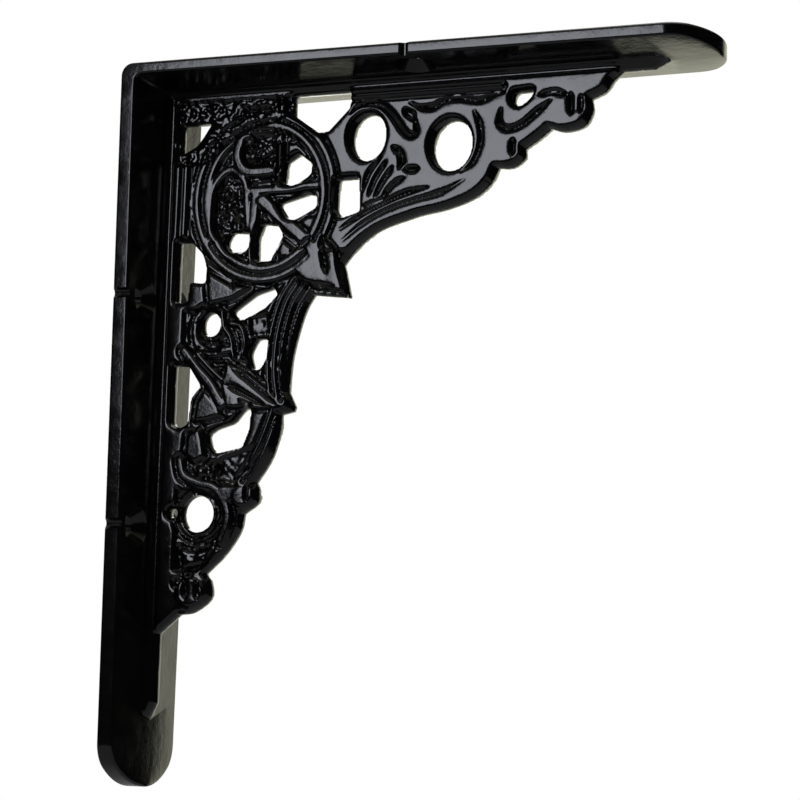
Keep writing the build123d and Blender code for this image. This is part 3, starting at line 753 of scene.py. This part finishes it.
def cutter_mesh():
    """Everything that is cut from the flanges: countersunk screw holes, and notches in the rims."""
    vertices, faces = [], []

    def turned(origin, axis, profile, count=SCREW_STEPS):
        """Adds a solid turned about an axis, from its (radius, height) profile."""
        axis = np.array(axis, dtype=float)
        across = np.array([0.0, 1.0, 0.0])
        third = np.cross(axis, across)
        start = len(vertices)
        for radius, height in profile:
            for step in range(count):
                angle = 2 * math.pi * step / count
                vertices.append(np.array(origin) + axis * height
                                + radius * (across * math.cos(angle) + third * math.sin(angle)))
        for level in range(len(profile) - 1):
            for step in range(count):
                a, b = start + level * count + step, start + level * count + (step + 1) % count
                faces.append((a, b, b + count, a + count))
        faces.append(tuple(start + step for step in reversed(range(count))))
        faces.append(tuple(start + (len(profile) - 1) * count + step for step in range(count)))

    def screw(origin, axis, edge, side, radius):
        """Countersunk hole that opens on the inner face of a flange."""
        seat = edge + DRAFT_RISE * (1 - side / (FLANGE_WIDTH_CORNER / 2))
        wide = SCREW_HEAD_RADIUS
        lip = wide + SCREW_LIP
        turned(origin, axis, [
            (radius, -CUT_CLEARANCE),
            (radius, seat - (wide - radius)),
            (wide, seat),
            (lip, seat + 2 * SCREW_LIP),
            (lip, seat + CUT_ABOVE_SEAT),
        ])

    def notch(origin, axis):
        """Round notch in a rim."""
        turned(origin, axis, [(NOTCH_RADIUS, 0), (NOTCH_RADIUS, NOTCH_LENGTH)], NOTCH_STEPS)

    wall, shelf = MOUNTS["wall_screws"]["dims"], MOUNTS["shelf_screws"]["dims"]
    wall_side, wall_row = wall["spacing_x_mm"] / 2, wall["spacing_y_mm"] / 2
    shelf_side, shelf_out = shelf["spacing_y_mm"] / 2, MOUNTS["shelf_screws"]["pos_m"][0] / MM
    for sign in (-1, 1):
        for row in (-wall_row, wall_row):
            screw((0, sign * wall_side, row), (1, 0, 0), WALL_EDGE, wall_side, wall["hole_r_mm"])
            half = arm_half(CORNER_UP - row, WALL_ARM)
            notch((-CUT_CLEARANCE, sign * half, row), (1, 0, 0))
        centre = (shelf_out, sign * shelf_side, CORNER_UP)
        screw(centre, (0, 0, -1), SHELF_EDGE, shelf_side, shelf["hole_r_mm"])
        half = arm_half(shelf_out, SHELF_ARM)
        notch((shelf_out, sign * half, CORNER_UP + CUT_CLEARANCE), (0, 0, -1))
    return np.array(vertices), faces


def arm_half(along, length):
    """Half the width of a flange on its straight stretch."""
    corner, end = FLANGE_WIDTH_CORNER / 2, FLANGE_WIDTH_END / 2
    return corner + (end - corner) * (along - TAPER_START) / (length - ARM_END_BOW - TAPER_START)


def apply_step(piece):
    """Turns a piece's modifier into plain mesh."""
    bpy.context.view_layer.update()
    result = bpy.data.meshes.new_from_object(piece.evaluated_get(bpy.context.evaluated_depsgraph_get()))
    piece.modifiers.clear()
    spent = piece.data
    piece.data = result
    bpy.data.meshes.remove(spent)


def combine(piece, other, operation):
    """Joins or cuts one closed mesh with another, which is used up."""
    step = piece.modifiers.new(operation.lower(), "BOOLEAN")
    step.operation = operation
    step.object = other
    step.solver = "MANIFOLD"
    apply_step(piece)
    bpy.data.objects.remove(other)


def thin_far_side(piece, triangles):
    """Fewer triangles on the side that faces away, so that the whole has about this many."""
    present = sum(len(face.vertices) - 2 for face in piece.data.polygons)
    group = piece.vertex_groups.new(name="far_side")
    group.add([vertex.index for vertex in piece.data.vertices if vertex.co.y > 0], 1.0, "REPLACE")
    step = piece.modifiers.new("thin", "DECIMATE")
    step.vertex_group = group.name
    step.ratio = triangles / present
    apply_step(piece)


def make_casting():
    """The whole bracket as one mesh."""
    casting = new_mesh("bracket_casting", *plate_mesh())
    web = new_mesh("web", *web_mesh())
    thin_far_side(web, WEB_TRIANGLES)
    combine(casting, web, "UNION")
    combine(casting, new_mesh("cutters", *cutter_mesh()), "DIFFERENCE")
    casting.data.shade_smooth()
    casting.data.set_sharp_from_angle(angle=math.radians(SHARP_ANGLE))
    step = casting.modifiers.new("normals", "WEIGHTED_NORMAL")
    step.keep_sharp = True
    apply_step(casting)
    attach(casting, "root")
    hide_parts("shelf_bracket")
    return casting


def black_paint():
    """Gloss black paint over cast iron: deep black, with the casting's grain under the gloss."""
    material = bpy.data.materials.new("gloss_black_paint")
    material.use_nodes = True
    nodes, links = material.node_tree.nodes, material.node_tree.links
    shader = nodes["Principled BSDF"]
    shader.inputs["IOR"].default_value = PAINT_IOR
    place = nodes.new("ShaderNodeTexCoord")

    def noise(scale, detail, roughness=0.5):
        texture = nodes.new("ShaderNodeTexNoise")
        texture.inputs["Scale"].default_value = scale
        texture.inputs["Detail"].default_value = detail
        texture.inputs["Roughness"].default_value = roughness
        links.new(place.outputs["Object"], texture.inputs["Vector"])
        return texture

    def ramp(source, stops):
        colours = nodes.new("ShaderNodeValToRGB")
        links.new(source, colours.inputs["Fac"])
        for element, stop in zip(colours.color_ramp.elements, stops):
            element.position, element.color = stop
        return colours

    cloud = noise(TINT_SCALE, 4, 0.6)
    tint = ramp(cloud.outputs["Fac"], zip(TINT_SPAN, (PAINT_DARK, PAINT_LIGHT)))
    links.new(tint.outputs["Color"], shader.inputs["Base Color"])
    sheen = noise(GLOSS_SCALE, 5, 0.6)
    gloss = nodes.new("ShaderNodeMapRange")
    gloss.inputs["From Min"].default_value, gloss.inputs["From Max"].default_value = GLOSS_SPAN
    gloss.inputs["To Min"].default_value, gloss.inputs["To Max"].default_value = PAINT_ROUGHNESS
    links.new(sheen.outputs["Fac"], gloss.inputs["Value"])
    links.new(gloss.outputs["Result"], shader.inputs["Roughness"])

    grain = noise(GRAIN_SCALE, 3)
    waves = noise(WAVE_SCALE, 2)
    fine = nodes.new("ShaderNodeBump")
    fine.inputs["Strength"].default_value = GRAIN_STRENGTH
    fine.inputs["Distance"].default_value = GRAIN_DISTANCE
    links.new(grain.outputs["Fac"], fine.inputs["Height"])
    broad = nodes.new("ShaderNodeBump")
    broad.inputs["Strength"].default_value = WAVE_STRENGTH
    broad.inputs["Distance"].default_value = WAVE_DISTANCE
    links.new(waves.outputs["Fac"], broad.inputs["Height"])
    links.new(fine.outputs["Normal"], broad.inputs["Normal"])
    links.new(broad.outputs["Normal"], shader.inputs["Normal"])
    return material


def lamp(name, place, target, size, power, colour):
    """Soft square lamp aimed at a point, all in metres."""
    light = bpy.data.lights.new(name, "AREA")
    light.size = size
    light.energy = power
    light.color = colour
    holder = bpy.data.objects.new(name, light)
    holder.location = place
    holder.rotation_euler = (Vector(target) - Vector(place)).to_track_quat("-Z", "Y").to_euler()
    bpy.context.scene.collection.objects.link(holder)


def make_stage():
    """Pale floor under the bracket, and a white surround."""
    bpy.ops.mesh.primitive_plane_add(size=FLOOR_SIZE, location=(0, 0, low[2] - FLOOR_GAP))
    floor = bpy.context.object
    floor.name = "floor"
    paint = bpy.data.materials.new("pale_floor")
    paint.use_nodes = True
    nodes, links = paint.node_tree.nodes, paint.node_tree.links
    shader = nodes["Principled BSDF"]
    rays = nodes.new("ShaderNodeLightPath").outputs
    tone = nodes.new("ShaderNodeMixRGB")
    links.new(rays["Is Glossy Ray"], tone.inputs["Fac"])
    tone.inputs["Color1"].default_value = (FLOOR_TONE, FLOOR_TONE, FLOOR_TONE, 1)
    tone.inputs["Color2"].default_value = (FLOOR_IN_GLOSS, FLOOR_IN_GLOSS, FLOOR_IN_GLOSS, 1)
    links.new(tone.outputs["Color"], shader.inputs["Base Color"])
    shader.inputs["Roughness"].default_value = FLOOR_ROUGHNESS
    shader.inputs["Specular IOR Level"].default_value = FLOOR_SPECULAR
    shader.inputs["Emission Color"].default_value = (*WHITE, 1)
    glow = add_math(nodes, links, "MULTIPLY", rays["Is Camera Ray"], FLOOR_LIFT)
    links.new(glow, shader.inputs["Emission Strength"])
    floor.data.materials.append(paint)

    world = bpy.data.worlds.new("surround")
    bpy.context.scene.world = world
    world.use_nodes = True
    nodes, links = world.node_tree.nodes, world.node_tree.links
    ambient = nodes["Background"]
    ambient.inputs["Color"].default_value = AMBIENT_COLOUR
    ambient.inputs["Strength"].default_value = AMBIENT_LEVEL
    backdrop = nodes.new("ShaderNodeBackground")
    links.new(backdrop_colour(nodes, links), backdrop.inputs["Color"])
    links.new(backdrop_strength(nodes, links), backdrop.inputs["Strength"])
    rays = nodes.new("ShaderNodeLightPath")
    seen = add_math(nodes, links, "MAXIMUM", rays.outputs["Is Camera Ray"], rays.outputs["Is Glossy Ray"])
    seen = add_math(nodes, links, "MAXIMUM", seen, rays.outputs["Is Transmission Ray"])
    mix = nodes.new("ShaderNodeMixShader")
    links.new(seen, mix.inputs["Fac"])
    links.new(ambient.outputs[0], mix.inputs[1])
    links.new(backdrop.outputs[0], mix.inputs[2])
    links.new(mix.outputs[0], nodes["World Output"].inputs["Surface"])


def add_math(nodes, links, operation, first, second):
    """Math node on two sockets or numbers."""
    node = nodes.new("ShaderNodeMath")
    node.operation = operation
    for place, value in enumerate((first, second)):
        if isinstance(value, (int, float)):
            node.inputs[place].default_value = value
        else:
            links.new(value, node.inputs[place])
    return node.outputs[0]


def backdrop_colour(nodes, links):
    """Plain white to the camera, and a little warm in the gloss."""
    tint = nodes.new("ShaderNodeMixRGB")
    tint.inputs["Color1"].default_value = GLOSS_TINT
    tint.inputs["Color2"].default_value = (*WHITE, 1)
    links.new(nodes.new("ShaderNodeLightPath").outputs["Is Camera Ray"], tint.inputs["Fac"])
    return tint.outputs["Color"]


def backdrop_strength(nodes, links):
    """White to the camera; the gloss shows the white sheet and the soft ceiling in a dim room."""
    place = nodes.new("ShaderNodeTexCoord")
    squash = nodes.new("ShaderNodeVectorMath")
    squash.operation = "MULTIPLY"
    squash.inputs[1].default_value = SHEET_SQUASH
    links.new(place.outputs["Generated"], squash.inputs[0])
    length = nodes.new("ShaderNodeVectorMath")
    length.operation = "NORMALIZE"
    links.new(squash.outputs[0], length.inputs[0])
    towards = nodes.new("ShaderNodeVectorMath")
    towards.operation = "DOT_PRODUCT"
    towards.inputs[1].default_value = SHEET_TOWARDS
    links.new(length.outputs[0], towards.inputs[0])
    sheet = nodes.new("ShaderNodeMapRange")
    sheet.interpolation_type = "SMOOTHSTEP"
    sheet.inputs["From Min"].default_value = math.cos(math.radians(SHEET_HALF_ANGLE + SHEET_SOFT_ANGLE))
    sheet.inputs["From Max"].default_value = math.cos(math.radians(SHEET_HALF_ANGLE))
    sheet.inputs["To Min"].default_value = ROOM_LEVEL
    sheet.inputs["To Max"].default_value = SHEET_LEVEL
    links.new(towards.outputs["Value"], sheet.inputs["Value"])
    split = nodes.new("ShaderNodeSeparateXYZ")
    links.new(place.outputs["Generated"], split.inputs[0])
    ceiling = nodes.new("ShaderNodeMapRange")
    ceiling.interpolation_type = "SMOOTHSTEP"
    ceiling.inputs["From Min"].default_value = math.sin(math.radians(CEILING_FROM))
    ceiling.inputs["From Max"].default_value = math.sin(math.radians(CEILING_FULL))
    ceiling.inputs["To Min"].default_value = ROOM_LEVEL
    ceiling.inputs["To Max"].default_value = CEILING_LEVEL
    links.new(split.outputs["Z"], ceiling.inputs["Value"])
    bright = add_math(nodes, links, "MAXIMUM", ceiling.outputs["Result"], sheet.outputs["Result"])
    camera = nodes.new("ShaderNodeLightPath").outputs["Is Camera Ray"]
    return add_math(nodes, links, "MAXIMUM", camera, bright)


def make_camera():
    """Long lens a little below the middle of the bracket, turned towards the web's near face."""
    azimuth, elevation, roll = (math.radians(angle) for angle in (VIEW_AZIMUTH, VIEW_ELEVATION, VIEW_ROLL))
    forward = Vector((-math.sin(azimuth) * math.cos(elevation), math.cos(azimuth) * math.cos(elevation),
                      -math.sin(elevation)))
    right = Vector((math.cos(azimuth), math.sin(azimuth), 0))
    up = right.cross(forward)
    turned_right = right * math.cos(roll) + up * math.sin(roll)
    turned_up = up * math.cos(roll) - right * math.sin(roll)
    lens = bpy.data.cameras.new("camera")
    lens.sensor_width = VIEW_SENSOR
    lens.lens = VIEW_LENS
    lens.clip_start = VIEW_NEAREST
    camera = bpy.data.objects.new("camera", lens)
    turn = Matrix((turned_right, turned_up, -forward)).transposed().to_4x4()
    camera.matrix_world = Matrix.Translation(Vector(VIEW_PLACE)) @ turn
    bpy.context.scene.collection.objects.link(camera)
    bpy.context.scene.camera = camera


casting = make_casting()
casting.data.materials.clear()
casting.data.materials.append(black_paint())
make_stage()
for settings in LAMPS:
    lamp(*settings)
make_camera()
bpy.context.scene.view_settings.view_transform = "Standard"
